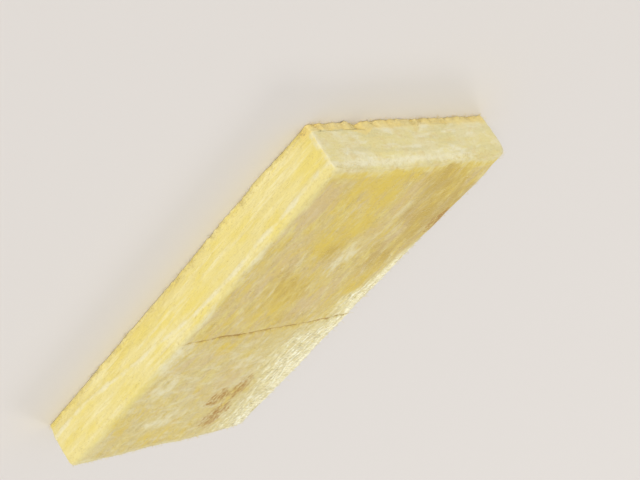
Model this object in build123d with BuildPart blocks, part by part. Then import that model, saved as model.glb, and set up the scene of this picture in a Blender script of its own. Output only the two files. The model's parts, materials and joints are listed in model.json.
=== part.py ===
from build123d import *
import math
import os

# A length of glass wool clamping felt: one soft slab, cut square at both ends.
# Millimetres. It lies on its back face, with its room side up. The origin is the
# middle of the back face, +X is its right edge, +Y its top end and +Z the room side.

os.makedirs("parts", exist_ok=True)

# The slab
WIDTH = 800.0
LENGTH = 1500.0
THICKNESS = 160.0

# How the soft section swells between its arrises
FACE_CROWN = 3.0
SIDE_SWELL = 4.0

# Arrises: the left one stands up, the right one is rolled over by handling
BACK_ARRIS_R = 9.0
LEFT_ARRIS_R = 14.0
RIGHT_ARRIS_R = 42.0
END_ARRIS_R = 5.0

# The fold crease across the room side, measured from the top end
CREASE_FROM_TOP = 828.0
CREASE_DEPTH = 8.0
CREASE_HALF_WIDTH = 17.0
CREASE_WANDER = 5.0

# The back layer of the felt, split off and torn at the top end
LAYER_THICKNESS = 27.0
SPLIT_OPENING = 5.0
SPLIT_DEPTH = 60.0
SPLIT_FROM_LEFT = 34.0
SPLIT_LENGTH = 176.0

# The torn edge of that layer, and the notch where the tear ends
TEAR_DEPTH = 9.0
TEAR_WAVE = 46.0
NOTCH_WIDTH = 40.0
NOTCH_DEPTH = 34.0

half_width = WIDTH / 2
half_length = LENGTH / 2
end_y = half_length
crease_y = end_y - CREASE_FROM_TOP
side_x = half_width - SIDE_SWELL
face_z = THICKNESS - FACE_CROWN
split_x0 = -half_width + SPLIT_FROM_LEFT
split_x1 = split_x0 + SPLIT_LENGTH
notch_x = split_x1


def wander(u):
    """How far the crease strays from a straight line, at a share u of the width."""
    return CREASE_WANDER * (
        0.55 * math.sin(2 * math.pi * (1.15 * u + 0.08))
        + 0.45 * math.sin(2 * math.pi * (3.3 * u + 0.41))
    )


def tear(x):
    """How far the torn back layer falls short of the end at that x."""
    wave = 0.5 + 0.3 * math.sin(2 * math.pi * x / TEAR_WAVE)
    wave += 0.2 * math.sin(2 * math.pi * x / (0.43 * TEAR_WAVE) + 1.3)
    return TEAR_DEPTH * wave


with BuildPart() as glass_wool_batt:
    # The section, swollen a little on the face and on both sides, flat on the back
    with BuildSketch(Plane.XZ.offset(-half_length)) as section:
        with BuildLine():
            Line((-side_x, 0), (side_x, 0))
            ThreePointArc((side_x, 0), (half_width, THICKNESS / 2), (side_x, face_z))
            ThreePointArc((side_x, face_z), (0, THICKNESS), (-side_x, face_z))
            ThreePointArc((-side_x, face_z), (-half_width, THICKNESS / 2), (-side_x, 0))
        make_face()
        fillet(section.vertices().group_by(Axis.Y)[0], BACK_ARRIS_R)
        fillet(section.vertices().sort_by_distance((-side_x, face_z))[0], LEFT_ARRIS_R)
        fillet(section.vertices().sort_by_distance((side_x, face_z))[0], RIGHT_ARRIS_R)
    extrude(amount=LENGTH)
    ends = glass_wool_batt.faces().filter_by(Axis.Y)
    fillet(ends.edges(), END_ARRIS_R)

    # The crease: two soft lips that meet in a sharp line, wandering across the face
    lip_r = (CREASE_HALF_WIDTH**2 + CREASE_DEPTH**2) / (2 * CREASE_DEPTH)
    lip_turn = math.asin(CREASE_HALF_WIDTH / lip_r) / 2
    lip_mid = (
        CREASE_HALF_WIDTH - lip_r * math.sin(lip_turn),
        -lip_r * (1 - math.cos(lip_turn)),
    )
    stations = [k / 16 for k in range(17)]
    with BuildLine() as crease_path:
        Spline(
            [
                (-half_width - 10 + u * (WIDTH + 20), crease_y + wander(u), THICKNESS)
                for u in stations
            ]
        )
    start = Plane(
        origin=crease_path.line @ 0,
        x_dir=(0, 1, 0),
        z_dir=(1, 0, 0),
    )
    with BuildSketch(start):
        with BuildLine():
            w = CREASE_HALF_WIDTH
            d = CREASE_DEPTH
            ThreePointArc((-w, 0), (-lip_mid[0], lip_mid[1]), (0, -d))
            ThreePointArc((0, -d), (lip_mid[0], lip_mid[1]), (w, 0))
            Line((w, 0), (w, 12))
            Line((w, 12), (-w, 12))
            Line((-w, 12), (-w, 0))
        make_face()
    sweep(path=crease_path.line, mode=Mode.SUBTRACT)

    # The split that parts the back layer from the rest, a wedge open at the end
    with BuildSketch(Plane.YZ.offset(split_x0)):
        with BuildLine():
            mouth = LAYER_THICKNESS + SPLIT_OPENING
            Polyline(
                (end_y + 1, LAYER_THICKNESS),
                (end_y + 1, mouth),
                (end_y - SPLIT_DEPTH * 0.45, LAYER_THICKNESS + SPLIT_OPENING * 0.55),
                (end_y - SPLIT_DEPTH, LAYER_THICKNESS),
                close=True,
            )
        make_face()
    extrude(amount=SPLIT_LENGTH, mode=Mode.SUBTRACT)

    # The torn edge of the back layer
    torn_n = 28
    torn_x = [-half_width - 2 + k * (notch_x + half_width + 2) / torn_n for k in range(torn_n + 1)]
    with BuildSketch(Plane.XY):
        with BuildLine():
            edge = Spline([(x, end_y - tear(x)) for x in torn_x])
            Polyline(
                edge @ 1,
                (torn_x[-1], end_y + 4),
                (torn_x[0], end_y + 4),
                edge @ 0,
            )
        make_face()
    extrude(amount=LAYER_THICKNESS, mode=Mode.SUBTRACT)

    # The notch where the tear ends
    with BuildSketch(Plane.XY):
        with BuildLine():
            Polyline(
                (notch_x - NOTCH_WIDTH / 2, end_y + 4),
                (notch_x - NOTCH_WIDTH * 0.18, end_y - NOTCH_DEPTH * 0.55),
                (notch_x + NOTCH_WIDTH * 0.04, end_y - NOTCH_DEPTH),
                (notch_x + NOTCH_WIDTH * 0.2, end_y - NOTCH_DEPTH * 0.4),
                (notch_x + NOTCH_WIDTH / 2, end_y + 4),
                close=True,
            )
        make_face()
    extrude(amount=LAYER_THICKNESS + SPLIT_OPENING, mode=Mode.SUBTRACT)

glass_wool_batt.part.label = "glass_wool_batt"
export_step(glass_wool_batt.part, "parts/glass_wool_batt.step")
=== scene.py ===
"""A batt of glass wool clamping felt, lying flat on its back face.

The row frame has its origin in the middle of the back face, +X to the right
edge as seen from the room, +Y to the top end and +Z to the room side.
"""

import json
import logging
import math
from dataclasses import dataclass, field
from enum import Enum
from functools import partial

import bpy
import numpy as np
from mathutils import Matrix, Vector

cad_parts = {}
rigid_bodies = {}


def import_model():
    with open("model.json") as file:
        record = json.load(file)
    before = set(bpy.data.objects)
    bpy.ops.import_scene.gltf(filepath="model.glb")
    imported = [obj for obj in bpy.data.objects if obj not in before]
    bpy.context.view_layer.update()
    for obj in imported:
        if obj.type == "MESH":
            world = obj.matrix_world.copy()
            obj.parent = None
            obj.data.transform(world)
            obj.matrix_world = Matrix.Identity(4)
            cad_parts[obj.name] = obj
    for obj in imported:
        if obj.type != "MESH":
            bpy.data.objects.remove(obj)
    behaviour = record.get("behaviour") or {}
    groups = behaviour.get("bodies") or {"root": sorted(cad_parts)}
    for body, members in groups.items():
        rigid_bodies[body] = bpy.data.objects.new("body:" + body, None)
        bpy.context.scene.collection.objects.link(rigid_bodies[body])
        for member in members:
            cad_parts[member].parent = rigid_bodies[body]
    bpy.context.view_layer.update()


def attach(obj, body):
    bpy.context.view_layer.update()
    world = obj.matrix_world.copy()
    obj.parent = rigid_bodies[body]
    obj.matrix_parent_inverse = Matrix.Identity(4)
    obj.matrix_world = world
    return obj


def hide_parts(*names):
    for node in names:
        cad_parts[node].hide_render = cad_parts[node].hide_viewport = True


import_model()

log = logging.getLogger("glass_wool_batt")

Size = tuple[float, float, float]
Span = tuple[float, float]
Lines = tuple[float, ...]
Tree = bpy.types.NodeTree
Socket = bpy.types.NodeSocket
MM = 0.001

# How near a point counts as on a face, and the least length that is divided by
NEAR = 1e-6
TINY = 1e-12

# An input that shares its name with another of its node is told by its number: 0, 1
# and 2 are the values of a Math node, and these are inputs of Mix and Random Value nodes
FACTOR, VECTOR_A, VECTOR_B, COLOUR_A, COLOUR_B = 0, 4, 5, 6, 7
FLOAT_MIN, FLOAT_MAX = 2, 3


def linear(code: str) -> tuple[float, float, float, float]:
    """Turn an sRGB hex colour into the linear one that a shader takes.

    Args:
        code: The colour as #RRGGBB.

    Returns:
        Linear red, green and blue, and an alpha of 1.
    """
    parts = [int(code[k : k + 2], 16) / 255 for k in (1, 3, 5)]
    rgb = [c / 12.92 if c <= 0.04045 else ((c + 0.055) / 1.055) ** 2.4 for c in parts]
    return (rgb[0], rgb[1], rgb[2], 1.0)


def add_node(
    tree: Tree,
    kind: str,
    settings: dict[str | int, object] | None = None,
    links: dict[str | int, Socket] | None = None,
) -> bpy.types.Node:
    """Add a node with its settings and links.

    Args:
        tree: The tree that gets the node.
        kind: Blender's name for the kind of node.
        settings: Values by property name, or by input name or number.
        links: Output sockets by the name or number of the input they feed.

    Returns:
        The new node.
    """
    node = tree.nodes.new(kind)
    for key, value in (settings or {}).items():
        if isinstance(key, str) and hasattr(node, key):
            setattr(node, key, value)
        else:
            node.inputs[key].default_value = value
    for key, source in (links or {}).items():
        tree.links.new(source, node.inputs[key])
    return node


def ramp(values: np.ndarray, low: float, high: float) -> np.ndarray:
    """Ease from 0 at low to 1 at high; low may be the larger of the two."""
    t = np.clip((values - low) / (high - low), 0, 1)
    return t * t * (3 - 2 * t)


class Noise:
    """Smooth seeded noise from -1 to 1, the same on every run."""

    COUNT = 4096
    OFFSET = 0.37

    def __init__(self, seed: int) -> None:
        """Draw the lattice values.

        Args:
            seed: What the draw starts from.
        """
        rng = np.random.default_rng(seed)
        self.values = rng.random(self.COUNT)
        self.order = rng.permutation(self.COUNT)

    def at(self, points: np.ndarray, grain: Size) -> np.ndarray:
        """Read the noise at some points.

        Args:
            points: Places in metres, one row each.
            grain: Size of a patch along X, Y and Z, in metres.

        Returns:
            One value from -1 to 1 for each point.
        """
        scaled = points / np.array(grain) + self.OFFSET
        cell = np.floor(scaled).astype(int)
        part = scaled - cell
        part = part * part * (3 - 2 * part)
        total = np.zeros(len(points))
        last = self.COUNT - 1
        for corner in np.ndindex(2, 2, 2):
            key = cell + np.array(corner)
            spot = self.order[key[:, 0] & last]
            spot = self.order[(spot + key[:, 1]) & last]
            spot = self.order[(spot + key[:, 2]) & last]
            share = np.prod(np.where(np.array(corner) == 1, part, 1 - part), axis=1)
            total += share * self.values[spot]
        return 2 * total - 1


def lumps(points: np.ndarray, table: tuple[tuple[float, Size, int], ...]) -> np.ndarray:
    """Add up noises of several sizes.

    Args:
        points: Places in metres, one row each.
        table: Height, grain and seed of each noise.

    Returns:
        One height for each point.
    """
    return sum(high * Noise(seed).at(points, grain) for high, grain, seed in table)


@dataclass(frozen=True)
class Tone:
    """A colour that shows in patches over the colours laid before it.

    It eases in where a noise of its grain rises from low to high, up to its strength.
    Only names a mask that it keeps to.
    """

    colour: str
    grain_mm: Size
    low: float
    high: float
    strength: float
    turn_deg: float = 0.0
    detail: float = 3.0
    only: str = ""


class Surface(Enum):
    """The three kinds of surface that the felt shows."""

    ROOM_SIDE = "room side"
    LONG_SIDE = "long side"
    CUT_END = "cut end"


# Glass wool, spun and bonded with a yellow resin, then cut with a knife. It is
# matt and mottled: the resin is uneven, so gold and beige patches fade into each
# other, and the fibres lie mostly along the run, so they are drawn out that way.
# The cut ends show the layers as level lines. Fibres are about 0.01 mm thick,
# so the finest streaks are drawn hundreds of times coarser, to show at all.
# The long side's colour is lighter than the room side's partly as painted light: the same felt,
# with the long side shown in more light
BASE_COLOURS = {
    Surface.ROOM_SIDE: "#D9C272",
    Surface.LONG_SIDE: "#EEDF94",
    Surface.CUT_END: "#EBE1AF",
}

TONES = {
    Surface.ROOM_SIDE: (
        Tone("#DEC24C", (70, 140, 80), 0.42, 0.60, 0.82, 8, 5),
        Tone("#D2BA8A", (30, 170, 60), 0.46, 0.63, 0.62, -4, 5),
        Tone("#EADB84", (30, 80, 40), 0.50, 0.68, 0.60, 12, 4),
        Tone("#C2A858", (34, 80, 30), 0.51, 0.68, 0.56, 16, 4),
        Tone("#EEE3B0", (32, 100, 30), 0.51, 0.72, 0.56, 6, 4),
        Tone("#E2C440", (13, 26, 12), 0.52, 0.68, 0.46, -12, 4),
        Tone("#D8BE58", (84, 34, 30), 0.48, 0.64, 0.52, 13, 2, "below"),
        Tone("#EEE6BE", (74, 28, 30), 0.48, 0.68, 0.46, 28, 2, "below"),
        Tone("#DAD0A0", (120, 160, 60), 0.30, 0.45, 0.30, 0, 2, "below"),
        Tone("#BCA76B", (6, 20, 8), 0.50, 0.74, 0.60, 22, 4),
        Tone("#EDDC9C", (5, 13, 6), 0.51, 0.74, 0.55, -28, 4),
    ),
    Surface.LONG_SIDE: (
        Tone("#ECD86A", (80, 210, 60), 0.44, 0.64, 0.66, 0, 6),
        Tone("#F7EFC4", (60, 240, 18), 0.47, 0.70, 0.58, 0, 4),
        Tone("#E3D07C", (50, 110, 14), 0.51, 0.72, 0.38, 0, 4),
        Tone("#F8F0C8", (20, 30, 6), 0.54, 0.76, 0.20, 0, 5),
    ),
    Surface.CUT_END: (
        Tone("#E8DB90", (120, 90, 60), 0.44, 0.60, 0.66, 0, 4),
        Tone("#DDD49E", (150, 90, 26), 0.46, 0.64, 0.60, 0, 4),
        Tone("#F3EFD2", (70, 90, 24), 0.49, 0.68, 0.62, 0, 4),
        Tone("#E2CC8A", (40, 90, 30), 0.51, 0.68, 0.45, 0, 4),
        Tone("#F6F2D8", (14, 26, 5), 0.52, 0.76, 0.36, 0, 4),
        Tone("#CDBD84", (10, 26, 5), 0.53, 0.76, 0.40, 0, 4),
    ),
}

# Painted sheen along the silky band: pale silver and lemon streaks by turns as painted highlights,
# darker streaks between them, a painted highlight near the right arris low down, and painted shade
# in the troughs of the fine wrinkles that cross its low part
PAINTED_SHEEN_TONES = (
    Tone("#D6C478", (34, 90, 40), 0.46, 0.62, 0.64, 8, 3, "rolled"),
    Tone("#E8DA8C", (11, 70, 30), 0.45, 0.59, 0.75, 10, 4, "rolled"),
    Tone("#BEAF66", (12, 40, 20), 0.49, 0.62, 0.85, 16, 4, "rolled"),
    Tone("#BCAC6C", (17, 52, 20), 0.50, 0.62, 0.62, 18, 3, "rolled"),
    Tone("#FFFAD6", (15, 46, 20), 0.50, 0.61, 0.95, 4, 4, "rolled"),
    Tone("#FAF1C0", (16, 110, 30), 0.38, 0.56, 0.66, 6, 4, "lit"),
    Tone("#C4B478", (42, 4.6, 20), 0.48, 0.62, 0.42, 22, 3, "rippled"),
)


@dataclass(frozen=True)
class FeltFinish:
    """Bonded glass wool felt, matt and fibrous, and a little silky where it is rolled over.

    Sizes with _mm are real ones in millimetres, along X, Y and Z where there are three.
    """

    # Matt felt, the silkier rolled band, and the soft light of upright fibres
    ior: float = 1.5
    matt: float = 0.92
    silky: float = 0.46
    sheen: float = 0.10
    sheen_roughness: float = 0.6

    # How the streaks wander: over what length, and how far in metres
    drift_mm: float = 250.0
    drift_reach: Size = (0.050, 0.050, 0.008)

    # Colours over the silky streaks, and how much of the first two shows; the olive one is painted
    # shade, and the crease's is painted shade in the fold
    olive: str = "#BFA044"
    olive_shade_share: float = 0.70
    back_layer: str = "#F4DC86"
    back_layer_share: float = 0.78
    stain: str = "#B28428"
    crease: str = "#B08840"

    # How a soft patch frays: its mask and some of this grain have to pass the levels
    fray_mm: Size = (30, 75, 30)
    fray_gain: float = 3.4
    fray_levels: Span = (1.75, 2.75)
    fray_rim: Span = (0.02, 0.30)

    # The stains' blots, which fade towards the rims of their ovals and with depth
    stain_mm: Size = (13, 26, 20)
    stain_turn_rad: float = 0.30
    stain_depth: float = 0.034
    stain_gain: float = 0.17
    stain_levels: Span = (0.55, 0.72)
    stain_rim: Span = (0.0, 0.3)
    oval_rim: Span = (1.0, 0.15)

    # The painted shade line in the crease: the grain of its dashes and half its width, thin and
    # thick
    dash_mm: Size = (30, 12, math.inf)
    dash_levels: Span = (0.40, 0.64)
    line_half_mm: Span = (1.0, 11.0)
    line_edge: Span = (1.0, 0.20)
    line_strength: float = 0.85

    # The height of the fibre mat, and the fine wrinkles of the silky band
    fibre_relief_mm: float = 1.4
    wrinkle_mm: float = 15.0
    wrinkle_turn_deg: float = 22.0
    wrinkle_share: float = 1.3

    # Frayed patches under the silky streaks: mask, colour and how much of it shows. The pale one is
    # partly painted highlight along the left arrises, and the rolled one is painted sheen
    patches: tuple[tuple[str, str, float], ...] = (
        ("beige", "#D6BC88", 0.62),
        ("gold", "#E0C340", 0.82),
        ("pale", "#F1EAC6", 0.70),
        ("rolled", "#EFE4AA", 0.72),
    )

    # Soft ovals with stains in them: their middles and half sizes along X and Y
    stains: tuple[tuple[float, float, float, float], ...] = (
        (0.060, -0.480, 0.062, 0.085),
        (0.135, -0.440, 0.050, 0.105),
        (0.130, -0.600, 0.075, 0.120),
        (0.352, 0.438, 0.042, 0.100),
    )

    # Ridges of the fibre mat: how far they are turned, in degrees, and their sizes
    ridges: tuple[tuple[float, Size], ...] = (
        (6, (3.5, 20, 3)),
        (-34, (4, 17, 4)),
        (48, (4, 15, 3)),
        (0, (17, 40, 11)),
    )

    def build(self) -> bpy.types.Material:
        """Make the material from the batt's own masks and Object coordinates.

        Returns:
            The material.
        """
        material = bpy.data.materials.new("bonded_glass_wool")
        material.use_nodes = True
        tree = material.node_tree
        tree.nodes.clear()
        add = partial(add_node, tree)
        paint = FeltPaint(self, tree)
        gloss = add(
            "ShaderNodeMapRange",
            {"To Min": self.matt, "To Max": self.silky},
            {"Value": paint.masks["rolled"]},
        ).outputs[0]
        shader = add(
            "ShaderNodeBsdfPrincipled",
            {"IOR": self.ior, "Sheen Weight": self.sheen, "Sheen Roughness": self.sheen_roughness},
            {"Base Color": paint.colour(), "Roughness": gloss, "Normal": paint.relief()},
        )
        add("ShaderNodeOutputMaterial", None, {0: shader.outputs[0]})
        return material


class FeltPaint:
    """Lays the felt's colours and its fibre relief in a material's node tree."""

    def __init__(self, finish: FeltFinish, tree: Tree) -> None:
        """Read the coordinates and the batt's masks.

        Args:
            finish: The colours and sizes.
            tree: The tree that gets the nodes.
        """
        self.finish = finish
        self.add = partial(add_node, tree)
        self.place = self.add("ShaderNodeTexCoord").outputs["Object"]
        self.bent = self.drifting()
        self.masks = {
            name: self.add("ShaderNodeAttribute", {"attribute_name": name}).outputs["Fac"]
            for name in FeltBatt.MASKS
        }

    def drifting(self) -> Socket:
        """Bend the coordinates slowly, so that streaks wander.

        Returns:
            The socket of the bent ones.
        """
        drift = self.add(
            "ShaderNodeTexNoise",
            {"Scale": 1 / (self.finish.drift_mm * MM), "Detail": 1.0},
            {"Vector": self.place},
        )
        centred = self.add(
            "ShaderNodeVectorMath",
            {"operation": "SUBTRACT", 1: (0.5, 0.5, 0.5)},
            {0: drift.outputs["Color"]},
        )
        return self.add(
            "ShaderNodeVectorMath",
            {"operation": "MULTIPLY_ADD", 1: self.finish.drift_reach},
            {0: centred.outputs[0], 2: self.place},
        ).outputs[0]

    def grain(
        self,
        place: Socket,
        size_mm: Size,
        turn: float = 0.0,
        detail: float = 3.0,
        roughness: float = 0.5,
        distortion: float = 0.0,
    ) -> Socket:
        """Lay out the felt's grain at a real size: stretched coordinates and noise on them.

        Args:
            place: Coordinates in metres.
            size_mm: Size of a patch along X, Y and Z; infinite where nothing changes.
            turn: How far the patches are turned about Z, in radians.
            detail: Number of finer layers in it.
            roughness: How strong those are.
            distortion: How far it is bent by itself.

        Returns:
            The socket of its value, from 0 to 1.
        """
        scale = [1 / (size * MM) for size in size_mm]
        stretched = self.add(
            "ShaderNodeMapping", {"Rotation": (0, 0, turn), "Scale": scale}, {"Vector": place}
        )
        return self.add(
            "ShaderNodeTexNoise",
            {"Scale": 1.0, "Detail": detail, "Roughness": roughness, "Distortion": distortion},
            {"Vector": stretched.outputs[0]},
        ).outputs["Fac"]

    def share(
        self, value: Socket, levels: Span, strength: float = 1.0, soft: bool = True
    ) -> Socket:
        """Turn a value into a share that rises from none to its full strength.

        Args:
            value: The socket of the value.
            levels: Where the share is none and where it is full.
            strength: The full share.
            soft: Whether it eases in and out between them, and isn't straight.

        Returns:
            The socket of the share.
        """
        settings = {"From Min": levels[0], "From Max": levels[1], "To Max": strength}
        if soft:
            settings["interpolation_type"] = "SMOOTHSTEP"
        return self.add("ShaderNodeMapRange", settings, {"Value": value}).outputs[0]

    def tones(self, table: tuple[Tone, ...], colour: str | Socket) -> Socket:
        """Lay tones over a colour.

        Args:
            table: The tones, from the first laid to the last.
            colour: The colour under them, as a hex code or a socket.

        Returns:
            The colour socket of the last layer.
        """
        for tone in table:
            turn = math.radians(tone.turn_deg)
            grain = self.grain(self.bent, tone.grain_mm, turn, tone.detail, 0.6)
            shown = self.share(grain, (tone.low, tone.high), tone.strength)
            if tone.only:
                links = {0: shown, 1: self.masks[tone.only]}
                shown = self.add("ShaderNodeMath", {"operation": "MULTIPLY"}, links).outputs[0]
            settings = {"data_type": "RGBA", COLOUR_B: linear(tone.colour)}
            links = {FACTOR: shown}
            if isinstance(colour, str):
                settings[COLOUR_A] = linear(colour)
            else:
                links[COLOUR_A] = colour
            colour = self.add("ShaderNodeMix", settings, links).outputs[2]
        return colour

    def frayed(self, name: str) -> Socket:
        """Break up the edge of a soft patch, so that it frays along the fibres.

        Args:
            name: Its mask.

        Returns:
            How much of it shows, with a streaky uneven edge.
        """
        finish, mask = self.finish, self.masks[name]
        grain = self.grain(self.bent, finish.fray_mm, detail=7.0, roughness=0.7)
        level = self.add(
            "ShaderNodeMath",
            {"operation": "MULTIPLY_ADD", 1: finish.fray_gain},
            {0: grain, 2: mask},
        ).outputs[0]
        shown = self.share(level, finish.fray_levels)
        links = {0: shown, 1: self.share(mask, finish.fray_rim, soft=False)}
        return self.add("ShaderNodeMath", {"operation": "MULTIPLY"}, links).outputs[0]

    def stained(self) -> Socket:
        """Blotches of resin with no set shape, in a few soft ovals.

        Returns:
            How much of the stain shows, from 0 to 1.
        """
        finish = self.finish
        deep = finish.stain_depth
        total = None
        for x, y, half_x, half_y in finish.stains:
            oval = self.add(
                "ShaderNodeMapping",
                {
                    "Location": (-x / half_x, -y / half_y, -FeltBatt.thickness / deep),
                    "Scale": (1 / half_x, 1 / half_y, 1 / deep),
                },
                {"Vector": self.place},
            ).outputs[0]
            reach = self.add("ShaderNodeVectorMath", {"operation": "LENGTH"}, {0: oval})
            inside = self.share(reach.outputs["Value"], finish.oval_rim)
            if total is None:
                total = inside
            else:
                links = {0: total, 1: inside}
                total = self.add("ShaderNodeMath", {"operation": "MAXIMUM"}, links).outputs[0]
        blots = self.grain(self.place, finish.stain_mm, finish.stain_turn_rad, 4.0, 0.62, 0.8)
        level = self.add(
            "ShaderNodeMath",
            {"operation": "MULTIPLY_ADD", 1: finish.stain_gain},
            {0: total, 2: blots},
        ).outputs[0]
        shown = self.share(level, finish.stain_levels, soft=False)
        links = {0: shown, 1: self.share(total, finish.stain_rim, soft=False)}
        return self.add("ShaderNodeMath", {"operation": "MULTIPLY"}, links).outputs[0]

    def painted_crease_shade(self) -> Socket:
        """Painted shade in the fold: a thin brown line, broken into dashes of uneven width.

        Returns:
            How much of the line shows, from 0 to 1.
        """
        finish = self.finish
        dash = self.grain(self.place, finish.dash_mm, detail=5.0, roughness=0.7)
        low, high = finish.dash_levels
        thin, thick = (half * MM for half in finish.line_half_mm)
        half = self.add(
            "ShaderNodeMapRange",
            {"From Min": low, "From Max": high, "To Min": thin, "To Max": thick},
            {"Value": dash},
        ).outputs[0]
        links = {0: self.masks["from_crease"], 1: half}
        near = self.add("ShaderNodeMath", {"operation": "DIVIDE"}, links).outputs[0]
        return self.share(near, finish.line_edge, finish.line_strength)

    def overlaid(self, layers: list[tuple[str, Socket, float]], colour: Socket) -> Socket:
        """Lay plain colours over a colour.

        Args:
            layers: Each one's hex code, how much of it shows where, and the most that shows.
            colour: The colour under them.

        Returns:
            The colour socket of the last layer.
        """
        for code, shown, most in layers:
            part = self.add("ShaderNodeMath", {"operation": "MULTIPLY", 1: most}, {0: shown})
            settings = {"data_type": "RGBA", COLOUR_B: linear(code)}
            links = {FACTOR: part.outputs[0], COLOUR_A: colour}
            colour = self.add("ShaderNodeMix", settings, links).outputs[2]
        return colour

    def colour(self) -> Socket:
        """Lay the felt's colours over each other, from the ground tones to the painted shade in the
        crease.

        Returns:
            The colour socket.
        """
        laid = {kind: self.tones(TONES[kind], BASE_COLOURS[kind]) for kind in Surface}
        colour = laid[Surface.ROOM_SIDE]
        for kind, name in ((Surface.LONG_SIDE, "side_cut"), (Surface.CUT_END, "end_cut")):
            links = {FACTOR: self.masks[name], COLOUR_A: colour, COLOUR_B: laid[kind]}
            colour = self.add("ShaderNodeMix", {"data_type": "RGBA"}, links).outputs[2]
        finish = self.finish
        under = [(code, self.frayed(name), most) for name, code, most in finish.patches]
        # Over them lie olive patches of painted shade, the torn back layer, the stains and painted
        # shade in the crease
        over = [
            (finish.olive, self.frayed("olive"), finish.olive_shade_share),
            (finish.back_layer, self.masks["back_layer"], finish.back_layer_share),
            (finish.stain, self.stained(), 1.0),
            (finish.crease, self.painted_crease_shade(), 1.0),
        ]
        colour = self.tones(PAINTED_SHEEN_TONES, self.overlaid(under, colour))
        return self.overlaid(over, colour)

    def relief(self) -> Socket:
        """The fibre mat: thin ridges that cross at many angles, and fine wrinkles.

        Returns:
            The normal socket.
        """
        finish = self.finish
        height = None
        for turn_deg, size_mm in finish.ridges:
            ridge = self.grain(self.bent, size_mm, math.radians(turn_deg))
            if height is None:
                height = ridge
            else:
                links = {0: height, 1: ridge}
                height = self.add("ShaderNodeMath", {"operation": "ADD"}, links).outputs[0]
        turn = (0, 0, math.radians(finish.wrinkle_turn_deg))
        across = self.add("ShaderNodeMapping", {"Rotation": turn}, {"Vector": self.bent})
        # At scale 1 the bands of this texture are 2 pi / 20 apart
        waves = self.add(
            "ShaderNodeTexWave",
            {
                "wave_type": "BANDS",
                "bands_direction": "Y",
                "Scale": 2 * math.pi / (20 * finish.wrinkle_mm * MM),
                "Distortion": 5.0,
                "Detail": 2.0,
                "Detail Scale": 1.0,
            },
            {"Vector": across.outputs[0]},
        )
        links = {0: waves.outputs["Fac"], 1: self.masks["rolled"]}
        folded = self.add("ShaderNodeMath", {"operation": "MULTIPLY"}, links)
        total = self.add(
            "ShaderNodeMath",
            {"operation": "MULTIPLY_ADD", 1: finish.wrinkle_share},
            {0: folded.outputs[0], 2: height},
        )
        return self.add(
            "ShaderNodeBump",
            {"Strength": 1.0, "Distance": finish.fibre_relief_mm * MM},
            {"Height": total.outputs[0]},
        ).outputs[0]


@dataclass(frozen=True)
class LooseFibreFinish:
    """Single glass fibres, pale straw, catching a little light along their length."""

    colour: str = "#F3E9BC"
    second: str = "#E3CB7C"
    tint_mm: float = 25.0
    ior: float = 1.5
    roughness: float = 0.55

    def build(self) -> bpy.types.Material:
        """Make the material, with two tints that take turns over each tint_mm.

        Returns:
            The material.
        """
        material = bpy.data.materials.new("loose_glass_fibre")
        material.use_nodes = True
        tree = material.node_tree
        tree.nodes.clear()
        add = partial(add_node, tree)
        tint = add(
            "ShaderNodeTexNoise",
            {"Scale": 1 / (self.tint_mm * MM), "Detail": 1.0},
            {"Vector": add("ShaderNodeTexCoord").outputs["Object"]},
        )
        mix = add(
            "ShaderNodeMix",
            {"data_type": "RGBA", COLOUR_A: linear(self.colour), COLOUR_B: linear(self.second)},
            {FACTOR: tint.outputs["Fac"]},
        )
        shader = add(
            "ShaderNodeBsdfPrincipled",
            {"IOR": self.ior, "Roughness": self.roughness},
            {"Base Color": mix.outputs[2]},
        )
        add("ShaderNodeOutputMaterial", None, {0: shader.outputs[0]})
        return material


def graded(low: float, high: float, step: float, near_low: Lines, near_high: Lines) -> np.ndarray:
    """Grid lines from low to high, closer together near both ends.

    Args:
        low: First line.
        high: Last line.
        step: Spacing in the middle.
        near_low: Distances from low of the first lines.
        near_high: Distances from high of the last lines.

    Returns:
        The lines in rising order.
    """
    first = low + np.array(near_low)
    last = high - np.array(near_high)[::-1]
    count = max(2, round((last[0] - first[-1]) / step) + 1)
    middle = np.linspace(first[-1], last[0], count)
    return np.concatenate([first[:-1], middle, last[1:]])


@dataclass(frozen=True)
class Patch:
    """A soft oval patch on the room side, by its middle and its half sizes in metres."""

    FALL = 0.9

    x: float
    y: float
    half_x: float
    half_y: float
    strength: float = 1.0

    def at(self, points: np.ndarray) -> np.ndarray:
        """Fade the patch out from its middle.

        Args:
            points: Places in metres, one row each.

        Returns:
            How much of the patch each point has, from 0 to its strength.
        """
        dx = (points[:, 0] - self.x) / self.half_x
        dy = (points[:, 1] - self.y) / self.half_y
        return self.strength * np.exp(-self.FALL * (dx * dx + dy * dy))


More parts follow.
